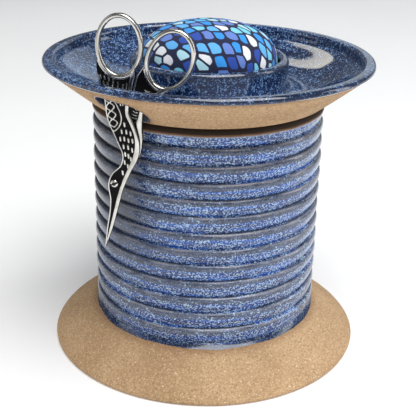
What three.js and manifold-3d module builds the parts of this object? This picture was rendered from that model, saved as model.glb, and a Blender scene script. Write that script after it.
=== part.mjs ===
// A stoneware sewing caddy in the shape of a thread spool: a ribbed jar on a wide foot, a lift-off dish
// lid with a pincushion in its central cup, and a pair of stork embroidery scissors that hangs through
// a slot in the dish wall. Millimetres, +Z up, origin at the centre of the foot's underside.
import * as THREE from "three";
import { mergeVertices } from "three/addons/utils/BufferGeometryUtils.js";
import Module from "manifold-3d";

const wasm = await Module();
wasm.setup();

// ---- driving dimensions ----
const TURN_STEPS = 48; // facets round each thrown clay piece
const JAR = {
  footRadius: 84.2,
  footFlatInner: 75, // the flat ring that the jar stands on runs from here to the foot's edge
  footShoulder: { radius: 82.4, z: 6 }, // control point of the domed foot
  recessRadius: 65,
  recessHeight: 5,
  junction: { radius: 61.2, z: 17.5 }, // where the straight body meets the foot
  crestRadius: 60.5,
  innerRadius: 53.5,
  floorZ: 11,
  floorFillet: 7,
  rimZ: 135.9,
  rimRound: 2.8,
};
const RIB = { count: 13, pitch: 8.8, depth: 1.9, lowestGroove: 20.7, skew: 0.55, sharpness: 0.8 };
const LID = {
  seatZ: 136.2, // 0.3 above the jar's rim
  seatRadius: 61.9,
  coneBend: { radius: 72.4, z: 144.4 }, // control point of the slightly curved cone
  coneTop: { radius: 83.4, z: 153.6 },
  rimRadius: 85,
  rimZ: 157.2,
  lipInner: 78.6, // where the lip turns down into the dish
  lipRoll: 2.6,
  dishFloor: 139.6,
  troughRadius: 49,
  ringOuter: 52.5, // locating ring under the lid
  ringInner: 47.5,
  ringBottom: 127,
  recessZ: 134,
};
const CUP = { outer: 41, inner: 36, rimZ: 156.6, floorZ: 141, rimRound: 2.4, foot: 3.5 };
const SLOT = { x: -39.5, y: -58.3, halfLength: 12.4, halfWidth: 8, turn: -21 };
const CUSHION = { radius: 35.5, bottomZ: 141.3, shoulderZ: 157, topZ: 174, cloth: 0.8, gather: 8 };
const CARD = { radius: 31, thickness: 1.2 };
const THREAD = { ring: 7, radius: 0.45 };
const GAP = 0.3; // clearance between neighbouring pieces
// Middles of the feathers on the stork's body, in the scissors' own frame.
const FEATHERS = [
  [-1, 30.2], [-1.6, 26.5], [0.6, 27], [2.7, 26.8], [-1.6, 22.8], [0.3, 23.4], [2.4, 23.2], [4.3, 23.5],
  [0.7, 19.5], [2.9, 19.8], [5.1, 19], [2.2, 16], [3.9, 15.6], [2.7, 12], [4.4, 11.5], [2.8, 6.5],
];
// The scissors hang in one upright plane. Their own frame has its origin at the pivot, X to the right,
// Y up towards the rings and Z out of the plane, away from the jar.
const SCISSORS = {
  pivot: [-43.66, -54.88, 106.76],
  azimuth: 12.47, // of the plane's normal, from -Y towards -X
  lean: 12.06, // of the rings, to the right
  plate: 1.6,
  layerGap: 0.3,
  handleHalf: 1.7,
  handleFrom: 41, // above this height both halves lie side by side at full thickness
};
const RING = { a: 11.4, b: 15, bar: 2.3, half: 1.5, edge: 0.8, tilt: 10 };
const RELIEF = 0.3; // how far the cast ornament stands over the front half's face
const FEATHER = { length: 1.8, width: 0.9 };
const SCREW = { head: 2.1, shank: 1.2, slotWidth: 0.7, slotDepth: 0.5, headHeight: 0.9 };

const CLAY = { roughness: 0.85, metalness: 0 };
const finishes = {
  jar: new THREE.MeshStandardMaterial({ color: 0x40538a, roughness: 0.3, metalness: 0 }),
  lid: new THREE.MeshStandardMaterial({ color: 0x27386f, roughness: 0.25, metalness: 0 }),
  cotton: new THREE.MeshStandardMaterial({ color: 0x5b93dd, ...CLAY }),
  wadding: new THREE.MeshStandardMaterial({ color: 0xe9e6dc, ...CLAY }),
  card: new THREE.MeshStandardMaterial({ color: 0xb89a6c, ...CLAY }),
  thread: new THREE.MeshStandardMaterial({ color: 0x1d2c66, ...CLAY }),
  frontSteel: new THREE.MeshStandardMaterial({ color: 0x8a8a88, roughness: 0.3, metalness: 1 }),
  backSteel: new THREE.MeshStandardMaterial({ color: 0x7c7c7a, roughness: 0.3, metalness: 1 }),
  screwSteel: new THREE.MeshStandardMaterial({ color: 0xc9c9c6, roughness: 0.2, metalness: 1 }),
};

// ---- helpers ----
const point = (r, z) => new THREE.Vector2(r, z);
const radians = THREE.MathUtils.degToRad;

// The closed solid of a geometry whose faces point outwards.
function solidOf(geometry) {
  const plain = geometry.clone();
  plain.deleteAttribute("normal");
  plain.deleteAttribute("uv");
  const merged = mergeVertices(plain, 1e-4);
  return new wasm.Manifold(
    new wasm.Mesh({
      numProp: 3,
      vertProperties: new Float32Array(merged.attributes.position.array),
      triVerts: new Uint32Array(merged.index.array),
    }),
  );
}

function geometryOf(solid) {
  const mesh = solid.getMesh();
  return new THREE.BufferGeometry()
    .setAttribute("position", new THREE.BufferAttribute(mesh.vertProperties, 3))
    .setIndex(new THREE.BufferAttribute(mesh.triVerts, 1));
}

// Revolves a profile of (radius, height) points about the Z axis.
function turned(profile, steps = TURN_STEPS) {
  return new THREE.LatheGeometry(profile, steps).rotateX(Math.PI / 2);
}

// Points on an arc about (r, z), in the radius and height plane, between two angles in degrees.
function arc(r, z, radius, from, to, steps) {
  return Array.from({ length: steps + 1 }, (_, i) => {
    const angle = radians(from + ((to - from) * i) / steps);
    return point(r + radius * Math.cos(angle), z + radius * Math.sin(angle));
  });
}

function bend(from, control, to, steps) {
  return new THREE.QuadraticBezierCurve(from, control, to).getPoints(steps);
}

// Drops points that fall on the one before them, so that the lathe makes no empty faces.
const distinct = (points) => points.filter((p, i) => i === 0 || p.distanceTo(points[i - 1]) > 0.01);

function mesh(name, geometry, material) {
  const made = new THREE.Mesh(geometry, material);
  made.name = name;
  return made;
}

// A flat plate of a shape between two heights of the scissors' Z axis.
function plate(shape, low, high) {
  return new THREE.ExtrudeGeometry(shape, {
    depth: high - low,
    bevelEnabled: false,
    curveSegments: 2,
  }).translate(0, 0, low);
}

// ---- the jar ----
// Phase runs down one throwing rib, from the groove above it (0) to the groove below it (1). Raised to the
// skew it puts the crest near the rib's top, so that the wall steps out sharply and tapers in slowly below.
// The rise over the groove is a cosine raised to a power under one: a broad crest and a sharp groove.
function ribs(top) {
  const points = [];
  for (let k = 0; k < RIB.count; k++)
    for (const phase of [1, 0.62, 0.28, 0.1]) {
      const turn = Math.PI * (phase ** RIB.skew - 0.5);
      const rise = RIB.depth * Math.max(0, Math.cos(turn)) ** RIB.sharpness;
      const z = RIB.lowestGroove + RIB.pitch * (k + 1 - phase);
      if (z < top) points.push(point(JAR.crestRadius - RIB.depth + rise, z));
    }
  return points;
}

function jarProfile() {
  const { footShoulder: shoulder, junction, innerRadius, floorZ, floorFillet } = JAR;
  const rimCentre = { r: innerRadius + JAR.rimRound, z: JAR.rimZ - JAR.rimRound };
  const outerShoulder = { r: JAR.crestRadius - JAR.rimRound, z: JAR.rimZ - JAR.rimRound };
  return distinct([
    point(0, JAR.recessHeight),
    ...bend(point(JAR.recessRadius, JAR.recessHeight), point(72, 4), point(JAR.footFlatInner, 0), 3),
    point(JAR.footRadius - 0.6, 0),
    point(JAR.footRadius, 0.6),
    ...bend(
      point(JAR.footRadius, 1.2),
      point(shoulder.radius, shoulder.z),
      point(junction.radius, junction.z),
      8,
    ),
    ...ribs(outerShoulder.z),
    ...arc(outerShoulder.r, outerShoulder.z, JAR.rimRound, 12, 90, 3),
    ...arc(rimCentre.r, rimCentre.z, JAR.rimRound, 90, 180, 3),
    ...arc(innerRadius - floorFillet, floorZ + floorFillet, floorFillet, 0, -90, 3),
    point(0, floorZ),
  ]);
}

// ---- the lid ----
function lidProfile() {
  const { coneTop, rimRadius, rimZ, lipInner, lipRoll, dishFloor, troughRadius } = LID;
  const lipRound = rimRadius - coneTop.radius + 0.6;
  const cupRound = CUP.rimRound;
  return distinct([
    point(0, LID.recessZ),
    point(LID.ringInner - 1.5, LID.recessZ),
    point(LID.ringInner, LID.ringBottom + 1),
    point(LID.ringInner + 1, LID.ringBottom),
    point(LID.ringOuter - 1, LID.ringBottom),
    point(LID.ringOuter, LID.ringBottom + 1),
    point(LID.ringOuter, LID.seatZ),
    point(LID.seatRadius - 0.8, LID.seatZ),
    ...bend(
      point(LID.seatRadius, LID.seatZ + 0.3),
      point(LID.coneBend.radius, LID.coneBend.z),
      point(coneTop.radius, coneTop.z),
      4,
    ),
    ...arc(rimRadius - lipRound, rimZ - lipRound, lipRound, 0, 90, 3),
    ...arc(lipInner + lipRoll, rimZ - lipRoll, lipRoll, 90, 190, 3),
    ...new THREE.CubicBezierCurve(
      point(lipInner - 0.6, rimZ - 2 * lipRoll),
      point(lipInner - 7, rimZ - 7.4),
      point(troughRadius + 11, dishFloor + 1.2),
      point(troughRadius, dishFloor),
    ).getPoints(5),
    ...bend(
      point(CUP.outer + CUP.foot, dishFloor + 0.3),
      point(CUP.outer, dishFloor + 0.6),
      point(CUP.outer, dishFloor + 1 + CUP.foot),
      2,
    ),
    ...arc(CUP.outer - cupRound, CUP.rimZ - cupRound, cupRound, 0, 90, 2),
    ...arc(CUP.inner + cupRound, CUP.rimZ - cupRound, cupRound, 90, 180, 2),
    point(CUP.inner, CUP.floorZ + 1.5),
    point(CUP.inner - 1.5, CUP.floorZ),
    point(0, CUP.floorZ),
  ]);
}

// The slot is an upright prism with round ends, so that the scissors lift straight out of it.
function slotPrism() {
  const { halfLength, halfWidth } = SLOT;
  const straight = halfLength - halfWidth;
  const outline = new THREE.Shape();
  outline.absarc(straight, 0, halfWidth, -Math.PI / 2, Math.PI / 2, false);
  outline.absarc(-straight, 0, halfWidth, Math.PI / 2, Math.PI * 1.5, false);
  return new THREE.ExtrudeGeometry(outline, { depth: 40, bevelEnabled: false, curveSegments: 10 })
    .rotateZ(radians(SLOT.turn))
    .translate(SLOT.x, SLOT.y, LID.ringBottom);
}

function lidGeometry() {
  return geometryOf(solidOf(turned(lidProfile())).subtract(solidOf(slotPrism())));
}

// ---- the pincushion ----
function domeProfile(radius, bottom, top, corner, steps) {
  const shoulder = CUSHION.shoulderZ;
  const dome = Array.from({ length: steps + 1 }, (_, i) => {
    const angle = ((Math.PI / 2) * i) / steps;
    return point(radius * Math.cos(angle), shoulder + (top - shoulder) * Math.sin(angle));
  });
  dome[steps].x = 0;
  return [...arc(radius - corner, bottom + corner, corner, -90, 0, 2), ...dome];
}

function coverGeometry() {
  const { radius, bottomZ, topZ, cloth, gather } = CUSHION;
  const outer = domeProfile(radius, bottomZ, topZ, 3, 6);
  const inner = domeProfile(radius - cloth, bottomZ + cloth, topZ - cloth, 3, 6).reverse();
  return turned([...inner, point(gather, bottomZ + cloth), point(gather, bottomZ), ...outer], 32);
}

function stuffingGeometry() {
  const skin = CUSHION.cloth + GAP;
  const bottom = CUSHION.bottomZ + skin + CARD.thickness + GAP;
  return turned(
    [point(0, bottom), ...domeProfile(CUSHION.radius - skin, bottom, CUSHION.topZ - skin, 3, 5)],
    24,
  );
}

function cardGeometry() {
  const low = CUSHION.bottomZ + CUSHION.cloth + GAP;
  const high = low + CARD.thickness;
  return turned([point(0, low), point(CARD.radius, low), point(CARD.radius, high), point(0, high)], 24);
}

function threadGeometry() {
  return new THREE.TorusGeometry(THREAD.ring, THREAD.radius, 6, 20).translate(
    0,
    0,
    CUSHION.bottomZ + CUSHION.cloth / 2,
  );
}

// ---- the scissors ----
const spline = (shape, pairs) => shape.splineThru(pairs.map(([x, y]) => point(x, y)));

// The front half: the stork's wing, neck, head with the screw for its eye, and one half of the beak.
function frontOutline() {
  const shape = new THREE.Shape();
  shape.moveTo(1.6, -35.2);
  spline(shape, [[3.5, -24.8], [4.3, -12], [4.9, -1], [6.6, 7.6], [8.9, 17], [6.8, 25.7], [2.5, 32.9]]);
  spline(shape, [[0, 36.6], [-0.5, 41], [-0.6, 55], [-1.4, 64]]);
  shape.lineTo(-18.6, 60);
  spline(shape, [[-19.6, 54.5], [-16.2, 46], [-12.9, 39.6], [-8.9, 29.2], [-5.7, 24.8]]);
  spline(shape, [[-2.6, 20.5], [0.9, 16], [1.2, 9.8], [-2.2, 4.5], [-3.2, -1], [-0.6, -9.2]]);
  spline(shape, [[-0.2, -14], [0.3, -24], [1.6, -35.2]]);
  return shape;
}

// The back half: it hides behind the neck and beak, and its tail shows beside the wing.
function backOutline() {
  const shape = new THREE.Shape();
  shape.moveTo(1.4, -35);
  spline(shape, [[2.8, -24], [3.7, -10], [4.2, -1], [6.2, 8], [9.3, 17], [8.8, 24], [6.9, 32]]);
  spline(shape, [[6.1, 37.5], [8, 43.5], [13.5, 48.5], [21.5, 58]]);
  shape.lineTo(3.6, 64);
  spline(shape, [[0.4, 55], [0, 46], [0.1, 41], [1.4, 34], [2.6, 22], [1.8, 10]]);
  spline(shape, [[-2, 4], [-2.9, -1], [-0.9, -9.6], [-0.5, -20], [1.4, -35]]);
  return shape;
}

function ringCentre(side) {
  return { x: side < 0 ? -10.7 : 13.5, y: 65.2 };
}

function ellipse(side, a, b) {
  const { x, y } = ringCentre(side);
  return new THREE.Shape().absellipse(x, y, a, b, 0, Math.PI * 2, false, radians(-side * RING.tilt));
}

// A finger ring: an oval band with rounded edges.
function ringGeometry(side) {
  const round = RING.edge;
  const shape = ellipse(side, RING.a - round, RING.b - round);
  shape.holes.push(ellipse(side, RING.a - RING.bar + round, RING.b - RING.bar + round));
  return new THREE.ExtrudeGeometry(shape, {
    depth: 2 * (RING.half - round),
    bevelEnabled: true,
    bevelThickness: round,
    bevelSize: round,
    bevelSegments: 2,
    curveSegments: 16,
  }).translate(0, 0, round - RING.half);
}

// The ornament cast on the front half: the polished spine, the wing's panel and the feathers.
function reliefShapes() {
  const spine = new THREE.Shape();
  spine.moveTo(2, -30);
  spline(spine, [[2.9, -24], [3.8, -12], [4.5, -1], [6.2, 7.6], [8.5, 17], [6.5, 25.4], [2.2, 32.6]]);
  spline(spine, [[-0.3, 36.4], [-0.8, 40]]);
  spine.lineTo(-1.9, 39.5);
  spline(spine, [[-0.4, 34.5], [2.6, 30.6], [5, 26.2], [6.5, 19], [5.2, 10], [3.3, 1.9]]);
  spline(spine, [[2.3, -5.5], [2.2, -14], [2, -30]]);
  const wing = new THREE.Shape();
  wing.moveTo(-12.4, 38.8);
  spline(wing, [[-10.4, 34.1], [-8.1, 29.6], [-6.7, 27], [-5.5, 26.3], [-4.2, 27.8], [-3.3, 31]]);
  spline(wing, [[-4.1, 34.3], [-6.2, 37.4], [-8.4, 40]]);
  const feathers = FEATHERS.map(([x, y]) => {
    const { length, width } = FEATHER;
    const feather = new THREE.Shape();
    feather.moveTo(x - width / 2, y + length / 2);
    feather.lineTo(x - width / 2, y);
    feather.lineTo(x + width / 2, y - length / 2);
    feather.lineTo(x + width / 2, y);
    return feather;
  });
  return [spine, wing, ...feathers];
}

// One half: its blade and neck on its own layer, its handle at full thickness, and its finger ring.
function scissorHalf(outline, side) {
  const { plate: thick, layerGap, handleHalf, handleFrom } = SCISSORS;
  const low = side < 0 ? layerGap / 2 : -layerGap / 2 - thick;
  const lower = solidOf(plate(outline, low, low + thick));
  const handleBox = new THREE.BoxGeometry(80, 60, 20).translate(0, handleFrom + 30, 0);
  const handle = solidOf(plate(outline, -handleHalf, handleHalf)).intersect(solidOf(handleBox));
  const middle = RING.bar / 2;
  const fingerHole = solidOf(plate(ellipse(side, RING.a - middle, RING.b - middle), -10, 10));
  const pivotHole = solidOf(
    new THREE.CylinderGeometry(SCREW.shank + GAP, SCREW.shank + GAP, 20, 16).rotateX(Math.PI / 2),
  );
  const half = lower.add(handle).subtract(fingerHole).add(solidOf(ringGeometry(side)));
  const face = low + thick;
  const relief = side < 0 ? reliefShapes() : [];
  const raised = relief.map((shape) => solidOf(plate(shape, face - RELIEF, face + RELIEF)));
  return raised.reduce((whole, part) => whole.add(part), half).subtract(pivotHole);
}

// The pivot screw: a slotted button head in front, its shank through both halves and a peened end.
function screwSolid() {
  const { head, shank, headHeight, slotWidth, slotDepth } = SCREW;
  const face = SCISSORS.layerGap / 2 + SCISSORS.plate + GAP;
  const body = turned(
    [
      point(0, -face - 0.6),
      point(head - 0.7, -face - 0.6),
      point(head - 0.2, -face),
      point(shank, -face),
      point(shank, face),
      point(head, face),
      point(head - 0.2, face + headHeight * 0.6),
      point(head - 0.9, face + headHeight),
      point(0, face + headHeight),
    ],
    20,
  );
  const slot = new THREE.BoxGeometry(6, slotWidth, 2 * slotDepth).rotateZ(radians(35));
  slot.translate(0, 0, face + headHeight);
  return solidOf(body).subtract(solidOf(slot));
}

// ---- assembly ----
const scissors = new THREE.Group();
scissors.position.set(...SCISSORS.pivot);
scissors.rotation.z = -radians(SCISSORS.azimuth);
const upright = new THREE.Group();
upright.rotation.x = Math.PI / 2;
const leaning = new THREE.Group();
leaning.rotation.z = -radians(SCISSORS.lean);
scissors.add(upright);
upright.add(leaning);
leaning.add(
  mesh("scissor_front_half", geometryOf(scissorHalf(frontOutline(), -1)), finishes.frontSteel),
  mesh("scissor_back_half", geometryOf(scissorHalf(backOutline(), 1)), finishes.backSteel),
  mesh("scissor_pivot_screw", geometryOf(screwSolid()), finishes.screwSteel),
);

const pincushion = new THREE.Group();
pincushion.add(
  mesh("pincushion_cover", coverGeometry(), finishes.cotton),
  mesh("pincushion_stuffing", stuffingGeometry(), finishes.wadding),
  mesh("pincushion_base_card", cardGeometry(), finishes.card),
  mesh("pincushion_gathering_thread", threadGeometry(), finishes.thread),
);

const caddy = new THREE.Group();
caddy.add(
  mesh("spool_jar", turned(jarProfile()), finishes.jar),
  mesh("dish_lid", lidGeometry(), finishes.lid),
  pincushion,
  scissors,
);

export default caddy;
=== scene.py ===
import bmesh
import bpy
import numpy as np
from mathutils import Matrix, Vector


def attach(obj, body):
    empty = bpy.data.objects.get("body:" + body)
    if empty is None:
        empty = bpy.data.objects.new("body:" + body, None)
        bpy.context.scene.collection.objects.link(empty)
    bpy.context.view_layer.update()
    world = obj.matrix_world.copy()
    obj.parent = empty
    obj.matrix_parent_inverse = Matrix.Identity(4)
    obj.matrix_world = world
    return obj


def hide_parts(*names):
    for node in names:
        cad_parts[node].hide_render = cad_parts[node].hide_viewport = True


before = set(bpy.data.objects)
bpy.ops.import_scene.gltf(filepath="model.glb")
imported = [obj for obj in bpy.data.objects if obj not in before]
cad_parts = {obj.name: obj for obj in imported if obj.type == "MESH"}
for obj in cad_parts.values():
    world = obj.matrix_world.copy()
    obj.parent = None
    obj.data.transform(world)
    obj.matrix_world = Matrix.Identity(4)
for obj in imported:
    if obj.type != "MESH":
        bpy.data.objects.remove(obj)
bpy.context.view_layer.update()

bl_info = {
    "name": "Thread Spool Sewing Caddy",
    "version": (1, 0, 0),
    "blender": (4, 5, 0),
    "location": "3D View > Sidebar > Caddy",
    "description": "A ribbed stoneware caddy with a dish lid, a pincushion and stork embroidery scissors",
    "category": "Add Mesh",
}

# Shapes are worked out in millimetres and become metres when they are put into a mesh.
MM = 0.001

# The scissors' own frame: origin at the pivot, X right, Y up to the rings, Z away from the jar.
PIVOT = np.array([-43.66, -54.88, 106.76])
AZIMUTH = np.radians(12.47)
LEAN = np.radians(12.06)
SCISSOR_AXES = np.array(
    [
        [np.cos(LEAN) * np.cos(AZIMUTH), -np.cos(LEAN) * np.sin(AZIMUTH), -np.sin(LEAN)],
        [np.sin(LEAN) * np.cos(AZIMUTH), -np.sin(LEAN) * np.sin(AZIMUTH), np.cos(LEAN)],
        [-np.sin(AZIMUTH), -np.cos(AZIMUTH), 0.0],
    ]
)

# Outlines of the scissor halves in that frame as (x, y), in millimetres; each edge is single-valued in y.
# A band is the inner edge of the bright spine, whose outer edge is the half's own right edge.
FRONT_LEFT = [(1.6, -35.2), (0.6, -24), (0.1, -14), (-0.6, -9.2), (-3.1, -1), (-2.3, 4.5), (0.9, 9.8), (0.9, 15),
              (-2.6, 20.5), (-5.7, 24.8), (-8.9, 29.2), (-12.9, 39.6), (-16.2, 46), (-19.4, 54), (-19.2, 61)]
FRONT_RIGHT = [(1.9, -35.2), (3.4, -24.8), (4.2, -12), (4.9, -1), (6.6, 7.6), (8.8, 17), (8.2, 22), (6.6, 26),
               (2.5, 32.9), (0, 36.6), (-0.6, 41), (-0.7, 55), (-1.4, 61)]
FRONT_BAND = [(1.6, -35.2), (1.9, -24.8), (2.3, -14), (2.6, -5.5), (3.4, 1.9), (5.0, 10), (6.1, 17), (5.9, 21.5),
              (4.5, 26.2), (1.7, 30.6), (-1.2, 34.5), (-2.4, 39.5), (-2.6, 48), (-2.9, 61)]
BACK_LEFT = [(1.5, -35), (-0.2, -20), (-0.6, -9.6), (-2.7, -1), (-1.8, 4), (1.8, 10), (2.6, 22), (1.4, 34),
             (0.1, 41), (0.1, 46), (0.5, 55), (3.6, 62)]
BACK_RIGHT = [(1.8, -35), (2.7, -24), (3.6, -10), (4.1, -1), (6.1, 8), (9.1, 17), (8.8, 24), (6.9, 32),
              (6.2, 37.5), (8, 43.5), (13.5, 48.5), (21.5, 58), (24, 62)]
BACK_BAND = [(1.2, -35), (1.6, -24), (2.2, -10), (2.7, -1), (3.6, 8), (5.0, 17), (4.4, 24), (2.6, 30.5), (3.9, 34),
             (4.2, 37.5), (5.4, 43.5), (10.6, 49.5), (18.6, 58), (21.2, 62)]
FEATHERS = [(-1.0, 30.2), (-1.6, 26.5), (0.6, 27.0), (2.7, 26.8), (-1.6, 22.8), (0.3, 23.4), (2.4, 23.2),
            (4.3, 23.5), (0.7, 19.5), (2.9, 19.8), (5.1, 19.0), (2.2, 16.0), (3.9, 15.6), (5.3, 14.5),
            (2.7, 12.0), (4.6, 10.5), (2.8, 6.5)]
WING_EDGE = [(-17.5, 49.0), (-16.2, 46.4), (-13.0, 39.4), (-10.9, 34.2), (-8.6, 29.4), (-6.9, 26.4), (-5.4, 25.6),
             (-3.7, 27.4), (-2.7, 31.0), (-3.6, 34.6), (-5.9, 37.9), (-8.4, 41.0), (-9.8, 45.0), (-10.2, 50.0)]


# ---- meshes ----
def grid_quads(rows, columns, wrap_rows=False, wrap_columns=False):
    """Quads between neighbouring points of a grid; a wrapped side joins its last line to its first."""
    i = np.arange(rows if wrap_rows else rows - 1)[:, None]
    j = np.arange(columns if wrap_columns else columns - 1)[None, :]
    i2, j2 = (i + 1) % rows, (j + 1) % columns
    return np.stack([i * columns + j, i * columns + j2, i2 * columns + j2, i2 * columns + j], -1).reshape(-1, 4)


def put_object(name, points, faces):
    """A mesh object at the origin from points in millimetres."""
    mesh = bpy.data.meshes.new(name)
    mesh.from_pydata(points * MM, [], faces)
    mesh.update()
    obj = bpy.data.objects.new(name, mesh)
    bpy.context.scene.collection.objects.link(obj)
    return obj


def revolve(name, profile, steps, wobble=None):
    """Profile (radius, z) turned about Z: x = r cos a, y = r sin a. Both ends lie on the axis and become poles.

    wobble(a, r, z) may return a change of r and of z over the grid.
    """
    r, z = profile[1:-1, 0][:, None], profile[1:-1, 1][:, None]
    angle = np.linspace(0, 2 * np.pi, steps, endpoint=False)[None, :]
    r, z = r + 0 * angle, z + 0 * angle
    if wobble:
        dr, dz = wobble(angle, r, z)
        r, z = r + dr, z + dz
    rings = np.stack([r * np.cos(angle), r * np.sin(angle), z], -1).reshape(-1, 3)
    poles = np.array([[0, 0, profile[0, 1]], [0, 0, profile[-1, 1]]])
    rows = len(profile) - 2
    first, last = rows * steps, rows * steps + 1
    j = np.arange(steps)
    j2 = (j + 1) % steps
    top = (rows - 1) * steps
    bottom_fan = np.stack([j2, j, np.full(steps, first)], -1)
    top_fan = np.stack([top + j, top + j2, np.full(steps, last)], -1)
    faces = grid_quads(rows, steps, wrap_columns=True).tolist() + bottom_fan.tolist() + top_fan.tolist()
    return put_object(name, np.vstack([rings, poles]), faces)


def tube(name, sections, wrap=False):
    """A closed skin over sections, an array (rows, columns, 3): quads along and round, and a fan at each end."""
    rows, columns = sections.shape[:2]
    points = sections.reshape(-1, 3)
    faces = grid_quads(rows, columns, wrap_rows=wrap, wrap_columns=True).tolist()
    if not wrap:
        ends = np.array([sections[0].mean(0), sections[-1].mean(0)])
        j = np.arange(columns)
        j2 = (j + 1) % columns
        top = (rows - 1) * columns
        faces += np.stack([j2, j, np.full(columns, len(points))], -1).tolist()
        faces += np.stack([top + j, top + j2, np.full(columns, len(points) + 1)], -1).tolist()
        points = np.vstack([points, ends])
    return put_object(name, points, faces)


def points_of(obj):
    """The mesh's points in millimetres."""
    flat = np.empty(len(obj.data.vertices) * 3)
    obj.data.vertices.foreach_get("co", flat)
    return flat.reshape(-1, 3) / MM


def bake_modifiers(obj):
    """Replaces the mesh by what its modifiers make, and drops them."""
    graph = bpy.context.evaluated_depsgraph_get()
    graph.update()
    mesh = bpy.data.meshes.new_from_object(obj.evaluated_get(graph), preserve_all_data_layers=True, depsgraph=graph)
    obj.modifiers.clear()
    obj.data = mesh


def cut(obj, cutter):
    """Takes the cutter's volume out of obj and removes the cutter."""
    tool = obj.modifiers.new("cut", "BOOLEAN")
    tool.operation, tool.solver, tool.object = "DIFFERENCE", "EXACT", cutter
    bake_modifiers(obj)
    bpy.data.objects.remove(cutter)


def join(obj, other):
    """Adds other's mesh to obj as a second shell of the same piece, and turns both shells' faces outwards."""
    shells = bmesh.new()
    shells.from_mesh(obj.data)
    shells.from_mesh(other.data)
    bmesh.ops.recalc_face_normals(shells, faces=shells.faces)
    shells.to_mesh(obj.data)
    shells.free()
    bpy.data.objects.remove(other)
    return obj


def smooth(obj, degrees):
    """Smooth shading, with creases where faces meet at more than that angle."""
    obj.data.shade_smooth()
    obj.data.set_sharp_from_angle(angle=np.radians(degrees))


def attribute(obj, name, values):
    """A number at each point of the mesh, for the finishes to read."""
    obj.data.attributes.new(name, "FLOAT", "POINT").data.foreach_set("value", np.ascontiguousarray(values, float))


def declare(obj, body, material, node):
    """Gives a piece its finish and the body it rides on, and hides the CAD node that it stands for."""
    dress(obj, material)
    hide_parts(node)
    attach(obj, body)


def dress(obj, material):
    """One finish for the whole mesh."""
    obj.data.materials.clear()
    obj.data.materials.append(material)


def curve(table, y):
    """x at y from a table of (x, y): a cubic Hermite curve whose slopes are the mean of the neighbours'."""
    x0, y0 = np.array(table, float).T
    slope = np.gradient(x0, y0)
    k = np.clip(np.searchsorted(y0, y) - 1, 0, len(y0) - 2)
    h = y0[k + 1] - y0[k]
    t = np.clip((y - y0[k]) / h, 0, 1)
    a, b = 2 * t**3 - 3 * t**2 + 1, t**3 - 2 * t**2 + t
    return a * x0[k] + b * h * slope[k] + (1 - a) * x0[k + 1] + (t**3 - t**2) * h * slope[k + 1]


def smoothstep(value, low, high):
    """0 below low, 1 above high, and 3 t squared less 2 t cubed between them."""
    t = np.clip((value - low) / (high - low), 0, 1)
    return t * t * (3 - 2 * t)


def arc(r, z, radius, start, end, steps):
    """Points on an arc about (r, z) between two angles in degrees."""
    angle = np.radians(np.linspace(start, end, steps))
    return np.stack([r + radius * np.cos(angle), z + radius * np.sin(angle)], -1)


def bezier(points, steps):
    """A Bezier curve of degree two or three through its control points."""
    t = np.linspace(0, 1, steps)[:, None]
    p = np.array(points, float)
    while len(p) > 1:
        p = p[:-1] * (1 - t) + p[1:] * t if p.ndim == 3 else p[:-1, None] * (1 - t) + p[1:, None] * t
    return p[0]


def line(start, end, steps):
    """Points on a straight line from start to end."""
    t = np.linspace(0, 1, steps)[:, None]
    return np.array(start) * (1 - t) + np.array(end) * t


def distinct(profile):
    """The profile without points that lie on the one before."""
    step = np.linalg.norm(np.diff(profile, axis=0), axis=1)
    return profile[np.concatenate([[True], step > 0.01])]


# ---- shader maths ----
class Signal:
    """An output socket that takes part in Python arithmetic; each operator adds one Math node."""

    def __init__(self, graph, socket):
        self.graph, self.socket = graph, socket

    def _math(self, operation, *values):
        return self.graph.add("Math", {"operation": operation}, dict(enumerate(values)))

    def __add__(self, other):
        return self._math("ADD", self, other)

    __radd__ = __add__

    def __mul__(self, other):
        return self._math("MULTIPLY", self, other)

    __rmul__ = __mul__

    def __sub__(self, other):
        return self._math("SUBTRACT", self, other)

    def __rsub__(self, other):
        return self._math("SUBTRACT", other, self)

    def __truediv__(self, other):
        return self._math("DIVIDE", self, other)

    def __rtruediv__(self, other):
        return self._math("DIVIDE", other, self)

    def __gt__(self, other):
        return self._math("GREATER_THAN", self, other)

    def __lt__(self, other):
        return self._math("LESS_THAN", self, other)

    def __pow__(self, other):
        return self._math("POWER", self, other)

    def larger(self, other):
        return self._math("MAXIMUM", self, other)

    def sine(self):
        return self._math("SINE", self)

    def other(self, output):
        """Another output of the node that this one comes from."""
        return Signal(self.graph, self.socket.node.outputs[output])

    def ramp(self, low, high, out_low=0.0, out_high=1.0):
        """Smooth step from low to high."""
        return self.graph.add(
            "MapRange",
            {"interpolation_type": "SMOOTHSTEP"},
            {"Value": self, "From Min": low, "From Max": high, "To Min": out_low, "To Max": out_high},
        )


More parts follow.
